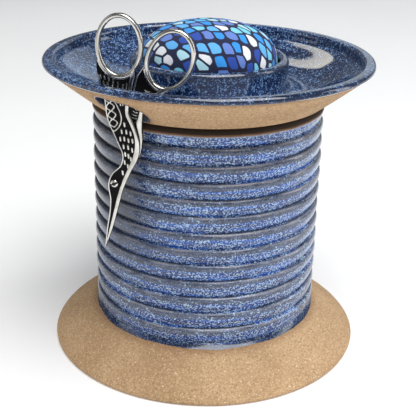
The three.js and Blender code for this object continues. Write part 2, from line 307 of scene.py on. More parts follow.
class Finish:
    """A node material; add() makes any node from its type, its settings and the values or links of its sockets."""

    def __init__(self, name, **constants):
        self.material = bpy.data.materials.new(name)
        self.material.use_nodes = True
        self.tree = self.material.node_tree
        self.shader = self.tree.nodes["Principled BSDF"]
        for key, value in constants.items():
            self.shader.inputs[key.replace("_", " ")].default_value = value

    def add(self, kind, settings=None, values=None, out=0):
        node = self.tree.nodes.new("ShaderNode" + kind)
        for key, value in (settings or {}).items():
            if key == "steps":
                self.colour_steps(node.color_ramp, value)
            else:
                setattr(node, key, value)
        for key, value in (values or {}).items():
            self.set(node.inputs[key], value)
        return Signal(self, node.outputs[out])

    def colour_steps(self, ramp, colours):
        """Equal steps of plain colour, one after the other."""
        ramp.interpolation = "CONSTANT"
        while len(ramp.elements) < len(colours):
            ramp.elements.new(0.5)
        for k, colour in enumerate(colours):
            ramp.elements[k].position = k / len(colours)
            ramp.elements[k].color = (*colour, 1.0)

    def set(self, socket, value):
        if isinstance(value, Signal):
            self.tree.links.new(value.socket, socket)
        elif isinstance(value, tuple) and len(value) == 3 and socket.type == "RGBA":
            socket.default_value = (*value, 1.0)
        else:
            socket.default_value = value

    def feed(self, **values):
        for key, value in values.items():
            self.set(self.shader.inputs[key.replace("_", " ")], value)

    def place(self):
        """The point itself, in metres."""
        return self.add("TexCoord", out="Object")

    def own(self, name):
        """The piece's own attribute of that name."""
        return self.add("Attribute", {"attribute_name": name}, out="Fac")

    def split(self, vector):
        x = self.add("SeparateXYZ", {}, {0: vector})
        return x, x.other(1), x.other(2)

    def scaled(self, vector, scale):
        return self.add("VectorMath", {"operation": "MULTIPLY"}, {0: vector, 1: scale})

    def shifted(self, vector, offset):
        return self.add("VectorMath", {"operation": "ADD"}, {0: vector, 1: offset})

    def noise(self, vector, scale, detail=3.0, roughness=0.55):
        return self.add(
            "TexNoise", {}, {"Vector": vector, "Scale": scale, "Detail": detail, "Roughness": roughness}, out="Fac"
        )

    def mix(self, factor, a, b):
        """Colour a where the factor is 0, colour b where it is 1."""
        return self.add("Mix", {"data_type": "RGBA"}, {0: factor, 6: a, 7: b}, out=2)

    def blend(self, factor, a, b):
        """The same for numbers."""
        return self.add("Mix", {}, {0: factor, 2: a, 3: b})

    def bump(self, height, distance, strength):
        return self.add("Bump", {}, {"Height": height, "Distance": distance, "Strength": strength})


def clay_colour(f, place, toast, colours):
    """Sandy stoneware: tan with darker and lighter grains, a sparkle of pale grit, and an orange toast mask that at
    the jar's rim also carries painted shade.
    """
    grit = f.noise(place, 900.0, 2.0, 0.7)
    fine = f.noise(place, 1350.0, 1.0, 0.6)
    cloud = f.noise(place, 28.0, 3.0)
    base = f.mix(cloud.ramp(0.3, 0.7), colours["clay_dark"], colours["clay_light"])
    base = f.mix(grit.ramp(0.34, 0.5, 0.6, 0.0), base, colours["clay_dark_grit"])
    base = f.mix(grit.ramp(0.56, 0.68, 0.0, 0.55), base, colours["clay_pale_grit"])
    base = f.mix(fine.ramp(0.66, 0.72, 0.0, 0.8), base, colours["clay_sparkle"])
    return f.mix(toast, base, colours["clay_toast"]), grit + fine * 0.6


# Where the jar's glaze ends, in metres up from the table.
GLAZE_TOP = 0.1321
GLAZE_FOOT = 0.0183
INNER_GLAZE_FOOT = 0.0095
BODY_INSIDE = 0.057  # a radius between the jar's inner and outer walls


def jar_finish(colours):
    """Floating blue over throwing ribs.

    Along one rib, phase 0 is the groove above it and 1 the groove below. The glaze breaks to grey-brown where
    the wall is steep and pools blue with pale streaks where it gathers. Clay is bare below the body and at the rim.
    Painted light: shade in the grooves and over the jar's left side, a highlight on each rib's upper shoulder, and
    shadow on the clay at the rim under the lid, where the toast is also darkened as shade.
    """
    f = Finish("jar_stoneware", Roughness=0.3, Coat_Roughness=0.08)
    place = f.place()
    x, y, z = f.split(place)
    radius = (x * x + y * y) ** 0.5
    phase = f.own("rib_phase")
    streak = f.noise(f.scaled(place, (1.0, 1.0, 3.5)), 240.0, 5.0, 0.75)
    long_streak = f.noise(f.scaled(place, (1.0, 1.0, 9.0)), 55.0, 3.0, 0.6)
    speck = f.noise(f.scaled(place, (1.0, 1.0, 1.25)), 1150.0, 1.0, 0.6)
    patch = f.noise(place, 17.0, 3.0)
    # Painted shade: 'side' marks the jar's left side above the lowest ribs. There the glaze is made less blue,
    # given fewer flecks and darkened towards slate.
    side = ((x * -0.94 - y * 0.34) / radius).ramp(0.62, 0.9) * z.ramp(0.04, 0.09)
    pool = phase.ramp(0.26, 0.5, 0.12, 1.0) * phase.ramp(0.9, 1.0, 1.0, 0.5)
    uneven = (streak - 0.5) * 1.5 + (patch - 0.5) * 1.5 + (long_streak - 0.5) * 0.9 + (speck - 0.5)
    blue_amount = (pool - side * 0.2 + uneven).ramp(0.28, 0.74)
    grain = f.noise(place, 1500.0, 1.0, 0.6)
    thin = f.mix((streak + (grain - 0.5) * 1.1).ramp(0.36, 0.62), colours["glaze_thin"], colours["glaze_grey"])
    # Painted highlight: a pale line, in patches, on each rib's upper shoulder just below the groove.
    shoulder_highlight = phase.ramp(0.02, 0.07) * phase.ramp(0.09, 0.2, 1.0, 0.0) * long_streak.ramp(0.38, 0.6)
    thin = f.mix(shoulder_highlight * 0.8, thin, colours["glaze_pale"])
    blue = f.mix((long_streak + (speck - 0.5) * 0.6).ramp(0.4, 0.62), colours["glaze_deep"], colours["glaze_blue"])
    glaze = f.mix(blue_amount, thin, blue)
    fleck_amount = (speck + (streak - 0.5) * 0.6 + (blue_amount - 0.5) * 0.14 + (patch - 0.5) * 0.15 - side * 0.05)
    fleck = fleck_amount.ramp(0.585, 0.675)
    glaze = f.mix(fleck * 0.85, glaze, colours["glaze_fleck"])
    dark_fleck = speck.ramp(0.3, 0.4, 0.55, 0.0)
    glaze = f.mix(dark_fleck, glaze, colours["glaze_deep"])
    # Painted shade over the left side, stronger on the lower part of each rib.
    glaze = f.mix(side * phase.ramp(0.3, 0.55, 0.35, 0.93), glaze, colours["glaze_slate"])
    # Painted shade: a dark line along each groove.
    groove = phase.ramp(0.0, 0.045, 1.0, 0.0).larger(phase.ramp(0.95, 0.998))
    glaze = f.mix(groove * 0.8, glaze, colours["glaze_groove"])
    edge_noise = (f.noise(place, 60.0, 2.0) - 0.5) * 0.0011
    level = z + edge_noise
    outside = radius > BODY_INSIDE
    lowest = INNER_GLAZE_FOOT + outside * (GLAZE_FOOT - INNER_GLAZE_FOOT)
    glazed = (level > lowest) * (level < GLAZE_TOP)
    rim_line = glazed * level.ramp(GLAZE_TOP - 0.0011, GLAZE_TOP - 0.0002)
    foot_line = glazed * outside * level.ramp(GLAZE_FOOT + 0.0012, GLAZE_FOOT + 0.0032, 1.0, 0.0)
    glaze = f.mix(rim_line * 0.75, glaze, colours["glaze_pale"])
    glaze = f.mix(foot_line * 0.8, glaze, colours["glaze_groove"])
    # Toast and painted shade: the bare band at the rim takes 0.85 of the toast colour, more than the foot, as the
    # shade under the lid.
    rim_toast_and_shade = (level > GLAZE_TOP - 0.0021) * 0.85
    foot_toast = level.ramp(GLAZE_FOOT - 0.0028, GLAZE_FOOT + 0.0001, 0.0, 0.45) * (level < GLAZE_FOOT + 0.0017)
    clay, sand = clay_colour(f, place, outside * (rim_toast_and_shade + foot_toast), colours)
    # Painted shadow: the bare clay above the glaze at the jar's mouth is painted near black, for the shade in the
    # gap under the lid.
    scorch = outside * level.ramp(GLAZE_TOP + 0.0003, GLAZE_TOP + 0.0012, 0.0, 0.97)
    clay = f.mix(scorch, clay, colours["clay_scorch"])
    f.feed(
        Base_Color=f.mix(glazed, clay, glaze),
        Roughness=f.blend(glazed, 0.88, 0.14 + (1.0 - blue_amount) * 0.1 + fleck * 0.1),
        Coat_Weight=glazed * 0.35,
        Normal=f.bump(glazed * (streak * 0.15 + patch * 1.5) + (1.0 - glazed) * sand, 0.00035, 0.55),
    )
    return f.material


def lid_finish(colours):
    """Navy glaze with pale mottling in the dish and over the lip; bare clay cone, toasted next to the glaze."""
    f = Finish("lid_stoneware", Roughness=0.2, Coat_Roughness=0.03)
    place = f.place()
    inside = f.own("glaze_edge") + (f.noise(place, 90.0, 3.0) - 0.5) * 1.1
    glazed = inside > 0.0
    speck = f.noise(place, 1250.0, 1.0, 0.6)
    mottle = f.noise(place, 420.0, 3.0, 0.65)
    cloud = f.noise(place, 24.0, 3.0)
    glaze = f.mix((mottle + (cloud - 0.5) * 0.8).ramp(0.36, 0.66), colours["dish_deep"], colours["dish_blue"])
    fleck = (speck + (mottle - 0.5) * 0.6 + (cloud - 0.5) * 0.3).ramp(0.56, 0.68)
    glaze = f.mix(fleck * 0.9, glaze, colours["dish_fleck"])
    glaze = f.mix(speck.ramp(0.32, 0.44, 0.8, 0.0), glaze, colours["dish_deep"])
    thin = f.own("thin_glaze")
    glaze = f.mix(thin * (0.35 + mottle * 0.7), glaze, colours["glaze_thin"])
    glaze = f.mix(inside.ramp(0.0, 0.55, 0.7, 0.0), glaze, colours["glaze_pale"])
    # Painted shade: the slot's walls are painted near black, standing in for the shade inside the slot.
    slot = f.own("slot_wall")
    glaze = f.mix(slot * 0.95, glaze, colours["glaze_groove"])
    clay, sand = clay_colour(f, place, inside.ramp(-2.6, -0.1, 0.0, 0.42), colours)
    f.feed(
        Base_Color=f.mix(glazed, clay, glaze),
        Roughness=f.blend(glazed, 0.88, 0.07 + fleck * 0.1 + slot * 0.5),
        Coat_Weight=glazed * (1.0 - slot) * 0.5,
        Normal=f.bump(glazed * (mottle * 0.03 + cloud * 1.5) + (1.0 - glazed) * sand, 0.0003, 0.5),
    )
    return f.material


PEBBLES_PER_METRE = 146.0
WEAVE_WAVES = 15000.0  # radians per metre of cloth


def cotton_finish(colours):
    """Cotton printed with rounded pebbles in rows: cells of a jittered grid, dark outlines, and a plain weave."""
    f = Finish("printed_cotton", Roughness=0.82, Sheen_Weight=0.08, Sheen_Roughness=0.5)
    uv = f.add("UVMap", {"uv_map": "cloth"})
    bend = f.add("TexNoise", {"noise_dimensions": "2D"}, {"Vector": uv, "Scale": 120.0, "Detail": 1.0}, out="Color")
    pull = f.scaled(f.shifted(bend, (-0.5, -0.5, -0.5)), (0.0016, 0.0016, 0.0016))
    u, v, _ = f.split(f.shifted(uv, pull))
    slanted = f.add("CombineXYZ", {}, {0: u * 1.08 + v * 0.5, 1: v * 0.86 - u * 0.12, 2: 0.0})
    cells = {"Vector": slanted, "Scale": PEBBLES_PER_METRE, "Randomness": 0.5}
    settings = {"voronoi_dimensions": "2D"}
    edge = f.add("TexVoronoi", {**settings, "feature": "DISTANCE_TO_EDGE"}, cells)
    middle = f.add("TexVoronoi", {**settings, "feature": "F1"}, cells)
    pick = f.add("SeparateColor", {}, {0: middle.other("Color")})
    pebble = f.add("ValToRGB", {"steps": colours["print"]}, {0: pick})
    pebble = f.mix(middle.ramp(0.05, 0.6, 0.0, 0.15) * pick.other(1), pebble, colours["print_royal"])
    inside = edge.ramp(0.085, 0.12) * middle.ramp(0.47, 0.52, 1.0, 0.0)
    weave = (u * WEAVE_WAVES).sine() * (v * WEAVE_WAVES).sine()
    colour = f.mix(inside, colours["print_line"], pebble)
    colour = f.mix(weave.ramp(-1.0, 1.0, 0.07, 0.0), colour, colours["print_line"])
    lint = f.noise(f.place(), 1400.0, 2.0)
    f.feed(Base_Color=colour, Normal=f.bump(weave * 0.5 + lint, 0.00012, 0.6), Roughness=0.74 + lint * 0.16)
    return f.material


def antique_finish(colours):
    """Steel with black in its recesses: the attribute 'polish' is 1 on the rubbed high places. On the rings it also
    paints shade on the sides.
    """
    f = Finish("antiqued_steel", Specular_IOR_Level=0.1)
    place = f.place()
    wear = f.noise(place, 900.0, 3.0, 0.7)
    cloud = f.noise(place, 160.0, 2.0)
    polish = (f.own("polish") + (wear - 0.5) * 0.3).ramp(0.3, 0.62)
    bright = f.mix(cloud.ramp(0.3, 0.7), colours["steel_bright"], colours["steel_worn"])
    f.feed(
        Base_Color=f.mix(polish, colours["steel_black"], bright),
        Metallic=polish,
        Roughness=0.42 - polish * 0.28 + wear * 0.05,
        Normal=f.bump(wear, 0.00008, 0.3),
    )
    return f.material


def screw_finish():
    """Polished steel with a fine turned grain. The slot is painted dark as shade, and the middle of the head is
    painted darker than a bright ring round it, as painted reflection.
    """
    f = Finish("screw_steel")
    place = f.place()
    wear = f.noise(place, 2400.0, 2.0)
    polish = f.own("polish").ramp(0.2, 0.8)
    bright = f.mix(wear.ramp(0.3, 0.7), (0.6, 0.58, 0.54), (0.78, 0.77, 0.74))
    f.feed(
        Base_Color=f.mix(polish, (0.02, 0.02, 0.022), bright),
        Metallic=0.4 + polish * 0.6,
        Roughness=0.16 + wear * 0.12,
    )
    return f.material


def wadding_finish():
    """Loose white fibre: two noises of different scale, with a soft bump."""
    f = Finish("wadding", Roughness=0.95, Sheen_Weight=0.4)
    place = f.place()
    fibre = f.noise(f.scaled(place, (1.0, 2.6, 1.4)), 700.0, 4.0, 0.7)
    f.feed(
        Base_Color=f.mix(fibre.ramp(0.35, 0.65), (0.62, 0.6, 0.54), (0.88, 0.86, 0.8)),
        Normal=f.bump(fibre + f.noise(place, 120.0), 0.0012, 0.8),
    )
    return f.material


def card_finish():
    """Grey-brown board with pulp flecks."""
    f = Finish("base_card", Roughness=0.9)
    place = f.place()
    pulp = f.noise(f.scaled(place, (1.0, 3.0, 6.0)), 420.0, 3.0, 0.7)
    f.feed(
        Base_Color=f.mix(pulp.ramp(0.35, 0.66), (0.27, 0.18, 0.1), (0.44, 0.33, 0.2)),
        Normal=f.bump(pulp, 0.0002, 0.6),
        Roughness=0.8 + pulp * 0.15,
    )
    return f.material


def thread_finish():
    """Twisted cotton: slanting stripes of two blues."""
    f = Finish("gathering_thread", Roughness=0.8, Sheen_Weight=0.3)
    x, y, z = f.split(f.place())
    twist = ((x + y + z * 2.0) * 9000.0).sine()
    colour = f.mix(twist.ramp(-0.7, 0.7), (0.012, 0.02, 0.1), (0.05, 0.075, 0.26))
    f.feed(Base_Color=colour, Normal=f.bump(twist, 0.0001, 0.7))
    return f.material


# ---- the jar ----
RIB_COUNT = 13
LOWEST_GROOVE = 20.7
RIB_SKEW = 0.55
RIB_BREADTH = 0.8
BODY_RADIUS = 57  # between the inner and outer walls of the body


def rib_rise(phase):
    """Rise over the groove, 0 to 1, from the groove above (0) to the groove below (1).

    The phase is first raised to a power under one, so that the crest lies near the top of the rib; a cosine of it,
    raised to a power under one, keeps the crest broad and the groove sharp.
    """
    return np.clip(np.cos(np.pi * (np.clip(phase, 0, 1) ** RIB_SKEW - 0.5)), 0, 1) ** RIB_BREADTH


def jar_profile(size):
    """From the middle of the underside out over the foot, up the ribs, over the rim and down inside to the floor.

    The ribs' radius is the crest's less the depth times what rib_rise lacks of 1. Arcs, Bezier curves and lines
    make the rest.
    """
    crest, pitch, depth = size.crest_radius / MM, size.rib_pitch / MM, size.rib_depth / MM
    rim = size.rim_height / MM
    per_rib = 22
    up = np.arange(RIB_COUNT * per_rib) / per_rib
    z = LOWEST_GROOVE + pitch * up
    r = crest - depth * (1 - rib_rise(1 - up % 1))
    keep = z < rim - 3.4
    ribs = np.stack([r[keep], z[keep]], -1)
    inner_z = np.linspace(rim - 4, 20, 60)
    inner_r = 53.5 - 0.22 * (1 - np.cos((rim - 4 - inner_z) * 2 * np.pi / 7.5))
    return distinct(
        np.vstack(
            [
                [[0, 5]],
                line((8, 5), (60, 5), 6),
                bezier([(65, 5), (72, 4), (75, 0)], 8),
                line((77, 0), (83.2, 0), 3),
                arc(83.4, 0.8, 0.8, -90, 0, 4),
                bezier([(84.2, 1.2), (82.4, 6), (63.4, 16.6)], 30),
                bezier([(62.9, 16.9), (60.4, 18.2), (59.0, 20.2)], 8),
                ribs,
                arc(57.7, rim - 2.8, 2.8, 8, 90, 8),
                arc(56.3, rim - 2.8, 2.8, 90, 180, 8),
                np.stack([inner_r, inner_z], -1),
                arc(46.5, 18, 7, 0, -90, 10),
                line((44, 10.95), (4, 11.05), 14),
                [[0, 11]],
            ]
        )
    )


def jar_wobble(angle, r, z):
    """The thrower's hand: ribs rise and fall a little, and swell and shrink a little, as they go round."""
    on_body = smoothstep(z, 21, 30) * (1 - smoothstep(z, 122, 131)) * (r > BODY_RADIUS)
    lift = 0.32 * np.sin(angle + z / 19) + 0.12 * np.sin(3 * angle + z / 5)
    swell = 0.1 * np.sin(2 * angle + z / 7) + 0.06 * np.sin(7 * angle - z / 3)
    foot = (z < 17) * (r > 62) * 0.12 * np.sin(5 * angle + z)
    return on_body * swell + np.minimum(foot, 0), on_body * lift


class CaddyJarSizes(bpy.types.PropertyGroup):
    crest_radius: bpy.props.FloatProperty(
        name="Rib radius", description="Radius over the crests of the ribs", default=0.0605, unit="LENGTH"
    )
    rib_pitch: bpy.props.FloatProperty(
        name="Rib pitch", description="Height from one rib to the next", default=0.0088, unit="LENGTH"
    )
    rib_depth: bpy.props.FloatProperty(
        name="Rib depth", description="Depth of the grooves between the ribs", default=0.0019, unit="LENGTH"
    )
    rim_height: bpy.props.FloatProperty(
        name="Rim height", description="Height of the jar's rim over the table", default=0.1359, unit="LENGTH"
    )


class CADDY_OT_jar(bpy.types.Operator):
    """Make the ribbed jar with its wide foot"""

    bl_idname = "caddy.jar"
    bl_label = "Jar"

    def execute(self, context):
        size = context.scene.caddy_jar
        obj = revolve("jar_thrown", jar_profile(size), 208, jar_wobble)
        x, y, z = points_of(obj).T
        angle, r = np.arctan2(y, x), np.hypot(x, y)
        lift = jar_wobble(angle, r, z)[1]
        up = (z - lift - LOWEST_GROOVE) / (size.rib_pitch / MM)
        outside = (r > BODY_RADIUS) & (up > 0) & (up < RIB_COUNT)
        attribute(obj, "rib_phase", np.where(outside, 1 - up % 1, 0.8))
        smooth(obj, 60)
        declare(obj, "jar", jar_finish(finish_colours(context)), "spool_jar")
        return {"FINISHED"}


# ---- the lid ----
def dish_outside():
    """The cone from the locating ring up to the lip: a Bezier curve of degree two."""
    return bezier([(61.9, 136.5), (72.4, 144.4), (83.4, 153.6)], 26)


def dish_inside():
    """The dish from the lip down to the cup: a Bezier curve of degree three."""
    return bezier([(78.0, 152.0), (71.6, 149.8), (60.0, 140.8), (49.0, 139.6)], 40)


def dish_faces(r):
    """Heights of the dish's under and upper faces at a radius."""
    low, high = dish_outside(), dish_inside()[::-1]
    return np.interp(r, low[:, 0], low[:, 1]), np.interp(r, high[:, 0], high[:, 1])


def lid_profile():
    """From the middle of the underside round the locating ring, up the cone, over the lip and into the cup."""
    return distinct(
        np.vstack(
            [
                [[0, 134]],
                line((6, 134), (46, 134), 6),
                line((46.4, 133.8), (47.5, 128), 5),
                arc(48.5, 128, 1, 180, 270, 4),
                arc(51.5, 128, 1, -90, 0, 4),
                line((52.5, 129.5), (52.5, 135.8), 5),
                line((53, 136.2), (61.2, 136.2), 5),
                dish_outside(),
                arc(82.8, 155.0, 2.2, -8, 90, 12),
                arc(81.2, 154.6, 2.6, 90, 190, 12),
                dish_inside(),
                line((48, 139.6), (46, 139.65), 3),
                bezier([(44.5, 139.9), (41, 140.2), (41, 144.1)], 8),
                line((41, 146), (41, 153.6), 6),
                arc(38.6, 154.2, 2.4, 0, 90, 9),
                arc(38.4, 154.2, 2.4, 90, 180, 9),
                line((36, 153), (36, 142.5), 7),
                line((35.6, 141.5), (34.5, 141), 3),
                line((30, 141), (4, 141), 5),
                [[0, 141]],
            ]
        )
    )


# The slot: half circles at both ends of a straight part, turned in the lid's plan.
SLOT_MIDDLE = (-39.5, -58.3)
SLOT_TURN = np.radians(-21)
SLOT_RADIUS = 7.8
SLOT_HALF_STRAIGHT = 4.4


def slot_outline(grow):
    """The outline, grown outwards: a circle whose halves are moved apart by a steep tanh of the cosine."""
    side = np.linspace(0, 2 * np.pi, 96, endpoint=False)
    half = SLOT_RADIUS + grow
    x = half * np.cos(side) + SLOT_HALF_STRAIGHT * np.tanh(6 * np.cos(side))
    y = half * np.sin(side)
    cos, sin = np.cos(SLOT_TURN), np.sin(SLOT_TURN)
    return np.stack([SLOT_MIDDLE[0] + x * cos - y * sin, SLOT_MIDDLE[1] + x * sin + y * cos], -1)


def slot_distance(x, y):
    """How far a point in plan lies outside the slot."""
    cos, sin = np.cos(SLOT_TURN), np.sin(SLOT_TURN)
    along = (x - SLOT_MIDDLE[0]) * cos + (y - SLOT_MIDDLE[1]) * sin
    across = (y - SLOT_MIDDLE[1]) * cos - (x - SLOT_MIDDLE[0]) * sin
    return np.hypot(np.maximum(np.abs(along) - SLOT_HALF_STRAIGHT, 0), across) - SLOT_RADIUS


def slot_cutter(flare):
    """The slot's walls as a loft round the outline; they flare in a quarter round where they meet either face."""
    low, high = dish_faces(np.hypot(*slot_outline(0.0).T))
    quarter = np.linspace(0, np.pi / 2, 7)
    rows = [(low - 6, flare), (low - 0.05, flare)]
    rows += [(low + flare * np.sin(a), flare * (1 - np.sin(a))) for a in quarter[1:]]
    rows += [(high - flare * np.sin(a), flare * (1 - np.sin(a))) for a in quarter[::-1][:-1]]
    rows += [(high + 0.05, flare), (high + 2.2, flare)]
    sections = [np.column_stack([slot_outline(grow), z]) for z, grow in rows]
    return tube("slot_cutter", np.array(sections))


def lid_wobble(angle, r, z):
    """The rim is out of round by a little, as a thrown one is."""
    return 0.08 * np.sin(3 * angle) * (r < 84), 0 * angle


class CaddyLidSizes(bpy.types.PropertyGroup):
    slot_round: bpy.props.FloatProperty(
        name="Slot edge", description="Radius of the rounded edge of the slot", default=0.0011, unit="LENGTH"
    )


class CADDY_OT_lid(bpy.types.Operator):
    """Make the dish lid with its cup and its scissor slot"""

    bl_idname = "caddy.lid"
    bl_label = "Dish lid"

    def execute(self, context):
        flare = context.scene.caddy_lid.slot_round / MM
        obj = revolve("lid_thrown", lid_profile(), 240, lid_wobble)
        cut(obj, slot_cutter(flare))
        x, y, z = points_of(obj).T
        r = np.hypot(x, y)
        low, high = dish_faces(r)
        under = np.where(r > 61, z < (low + high) / 2, z < 138.0)
        under = np.where(r > 78.5, z < low + 1.2, under)
        edge = np.where(under, np.minimum(z - 154.1, 8), 8.0)
        from_slot = slot_distance(x, y)
        attribute(obj, "glaze_edge", np.maximum(edge, 1.0 - from_slot))
        # Painted shade for the slot's walls: 1 on the walls, fading out within a millimetre outside the slot.
        attribute(obj, "slot_wall", (1 - smoothstep(from_slot, 0.1, 0.9)) * (z < high))
        cup_rim = np.exp(-(((r - 41.0) / 1.1) ** 2) - ((z - 155.2) / 1.3) ** 2)
        lip_rim = np.exp(-(((r - 84.7) / 0.9) ** 2) - ((z - 155.4) / 1.2) ** 2) * 0.5
        attribute(obj, "thin_glaze", cup_rim + lip_rim)
        smooth(obj, 40)
        declare(obj, "lid", lid_finish(finish_colours(context)), "dish_lid")
        return {"FINISHED"}


# ---- the pincushion ----
CUP_LEVEL = 157  # where the straight sides end and the dome begins
CUSHION_RADIUS = 35.2
DOME_HEIGHT = 16.8
DOME_POWER = 0.92
PRINT_DOME_HEIGHT = 16.6  # the dome over which the flat print is laid out
PRINT_NAMES = (
    "print_white", "print_aqua", "print_sky", "print_azure", "print_periwinkle", "print_royal", "print_pale"
)


def cushion_profile(slack):
    """Half an ellipse over the cup's rim, straight sides in the cup and a rounded underside.

    The ellipse's radius is the side's times the cosine to the power 0.92. Slack makes the cover smaller.
    """
    angle = np.linspace(0, np.pi / 2, 60)[1:-1]
    side, rise = CUSHION_RADIUS - slack, DOME_HEIGHT - slack
    return np.vstack(
        [
            [[0, 142.6]],
            line((2, 142.4), (31, 141.7), 14),
            arc(side - 3, 144.7, 3, -80, 0, 8),
            line((side, 145.5), (side, 156.5), 10),
            np.stack([side * np.cos(angle) ** DOME_POWER, CUP_LEVEL + rise * np.sin(angle)], -1),
            [[0, CUP_LEVEL + rise]],
        ]
    )


def cloth_length(r, z):
    """How far a point lies from the crown along the cloth: the arc of the half ellipse, then straight down."""
    from_crown = np.linspace(0, np.pi / 2, 200)
    dome_r, dome_z = CUSHION_RADIUS * np.sin(from_crown) ** DOME_POWER, PRINT_DOME_HEIGHT * np.cos(from_crown)
    arc_length = np.concatenate([[0], np.cumsum(np.hypot(np.diff(dome_r), np.diff(dome_z)))])
    rise = np.maximum(z - CUP_LEVEL, 0) / PRINT_DOME_HEIGHT
    here = np.pi / 2 - np.arctan2(rise, r / CUSHION_RADIUS)
    return np.interp(here, from_crown, arc_length) + np.maximum(0, CUP_LEVEL - z)


def cushion_gathers(angle, r, z):
    """Small pleats, two sines round the cushion, that fade out over the dome, and a slightly uneven crown."""
    low = 1 - smoothstep(z, 155, 167)
    pleat = np.sin(23 * angle + 1.3 * np.sin(5 * angle)) + 0.5 * np.sin(41 * angle + 2)
    crown = 0.12 * np.sin(2 * angle + 0.6) * (r / 35) ** 2 * smoothstep(z, 150, 165)
    return -0.06 * low * (1 + pleat) * (r > 8), -crown


def stuff(obj, size):
    """Blows the cloth up like a stuffed cover: an even mesh, cloth under pressure, and each point's way capped.

    The pressure suits seat cushions, so the small cushion is enlarged while it is blown up. Then it is kept
    inside the cup.
    """
    remesh = obj.modifiers.new("even mesh", "REMESH")
    remesh.mode, remesh.voxel_size = "VOXEL", size.mesh_width
    bake_modifiers(obj)
    start = points_of(obj)
    obj.data.vertices.foreach_set("co", (start * MM * size.enlargement).ravel())
    held = obj.vertex_groups.new(name="held")
    held.add(np.flatnonzero(start[:, 2] < 148).tolist(), 1.0, "REPLACE")
    cloth = obj.modifiers.new("stuffing", "CLOTH")
    cloth.settings.quality = 6
    cloth.settings.vertex_group_mass = "held"
    cloth.settings.use_pressure = True
    cloth.settings.uniform_pressure_force = size.pressure
    cloth.settings.effector_weights.gravity = 0.0
    cloth.point_cache.frame_start, cloth.point_cache.frame_end = 1, 20
    for step in range(1, 21):
        bpy.context.scene.frame_set(step)
    bake_modifiers(obj)
    bpy.context.scene.frame_set(1)
    moved = points_of(obj) / size.enlargement - start
    way = np.linalg.norm(moved, axis=1, keepdims=True)
    points = start + moved * np.minimum(1, size.swell / MM / np.maximum(way, 1e-9))
    r = np.hypot(points[:, 0], points[:, 1])
    room = np.where(points[:, 2] < CUP_LEVEL + 0.5, 35.4, 36.2)
    points[:, :2] *= np.minimum(1, room / np.maximum(r, 1e-9))[:, None]
    obj.data.vertices.foreach_set("co", (points * MM).ravel())
    obj.vertex_groups.clear()
    rounding = obj.modifiers.new("rounding", "SUBSURF")
    rounding.levels = rounding.render_levels = 2
    bake_modifiers(obj)


class CaddyCushionSizes(bpy.types.PropertyGroup):
    slack: bpy.props.FloatProperty(
        name="Slack", description="How much smaller the cover is before stuffing", default=0.0001, unit="LENGTH"
    )
    swell: bpy.props.FloatProperty(
        name="Swell", description="The most that stuffing moves any point", default=0.0004, unit="LENGTH"
    )
    mesh_width: bpy.props.FloatProperty(
        name="Cloth mesh", description="Width of the even mesh that is stuffed", default=0.0026, unit="LENGTH"
    )
    pressure: bpy.props.FloatProperty(name="Pressure", description="Pressure of the stuffing", default=4.0)
    enlargement: bpy.props.FloatProperty(
        name="Enlargement", description="How many times larger the cushion is while it is stuffed", default=30.0
    )


class CADDY_OT_cushion(bpy.types.Operator):
    """Make the stuffed pincushion and dress its hidden parts"""

    bl_idname = "caddy.cushion"
    bl_label = "Pincushion"

    def execute(self, context):
        size = context.scene.caddy_cushion
        obj = revolve("pincushion_cloth", cushion_profile(size.slack / MM), 64)
        stuff(obj, size)
        x, y, z = points_of(obj).T
        angle, r = np.arctan2(y, x), np.hypot(x, y) + 1e-6
        pull, lift = cushion_gathers(angle, r, z)
        gathered = np.stack([x * (1 + pull / r), y * (1 + pull / r), z + lift], -1)
        obj.data.vertices.foreach_set("co", (gathered * MM).ravel())
        obj.data.update()
        uv = np.stack([x, y], -1) * (cloth_length(r, z) / r)[:, None] * MM
        loops = np.empty(len(obj.data.loops), int)
        obj.data.loops.foreach_get("vertex_index", loops)
        obj.data.uv_layers.new(name="cloth").data.foreach_set("uv", uv[loops].ravel())
        smooth(obj, 80)
        colours = finish_colours(context)
        colours["print"] = [colours[name] for name in PRINT_NAMES]
        declare(obj, "lid", cotton_finish(colours), "pincushion_cover")
        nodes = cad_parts
        dress(nodes["pincushion_stuffing"], wadding_finish())
        dress(nodes["pincushion_base_card"], card_finish())
        dress(nodes["pincushion_gathering_thread"], thread_finish())
        return {"FINISHED"}


# ---- the scissors ----
def to_world(points):
    """Points of the scissors' own frame, in millimetres, in the caddy's frame."""
    return PIVOT + points @ SCISSOR_AXES


def to_scissors(points):
    """The way back."""
    return (points - PIVOT) @ SCISSOR_AXES.T


def ridge(xy, path, width):
    """Height 0 to 1 of a rounded ridge along a path: the square root of 1 - (distance / half width) squared."""
    path = np.array(path, float)
    nearest = np.full(len(xy), 1e9)
    for a, b in zip(path[:-1], path[1:]):
        d = b - a
        t = np.clip(((xy - a) @ d) / (d @ d), 0, 1)
        nearest = np.minimum(nearest, np.linalg.norm(xy - a - t[:, None] * d, axis=1))
    return np.sqrt(np.clip(1 - (nearest / width) ** 2, 0, 1))


def smooth_path(points, steps):
    """A path resampled with a cubic curve in its own length."""
    p = np.array(points, float)
    length = np.concatenate([[0], np.cumsum(np.linalg.norm(np.diff(p, axis=0), axis=1))])
    t = np.linspace(0, length[-1], steps)
    return np.stack([curve(list(zip(p[:, k], length)), t) for k in (0, 1)], -1)


def braid(start, end, waves, swing, phase):
    """A strand that winds from side to side of a straight line, for an interlaced band."""
    t = np.linspace(0, 1, 40)[:, None]
    start, end = np.array(start, float), np.array(end, float)
    along = end - start
    across = np.array([-along[1], along[0]]) / np.linalg.norm(along)
    return start + along * t + across * swing * np.sin(2 * np.pi * waves * t + phase)


def feather(x, y, length=0.85):
    """A short path that leans a little to the right as it goes down."""
    return [(x - 0.2, y + length), (x + 0.05, y), (x + 0.35, y - length)]


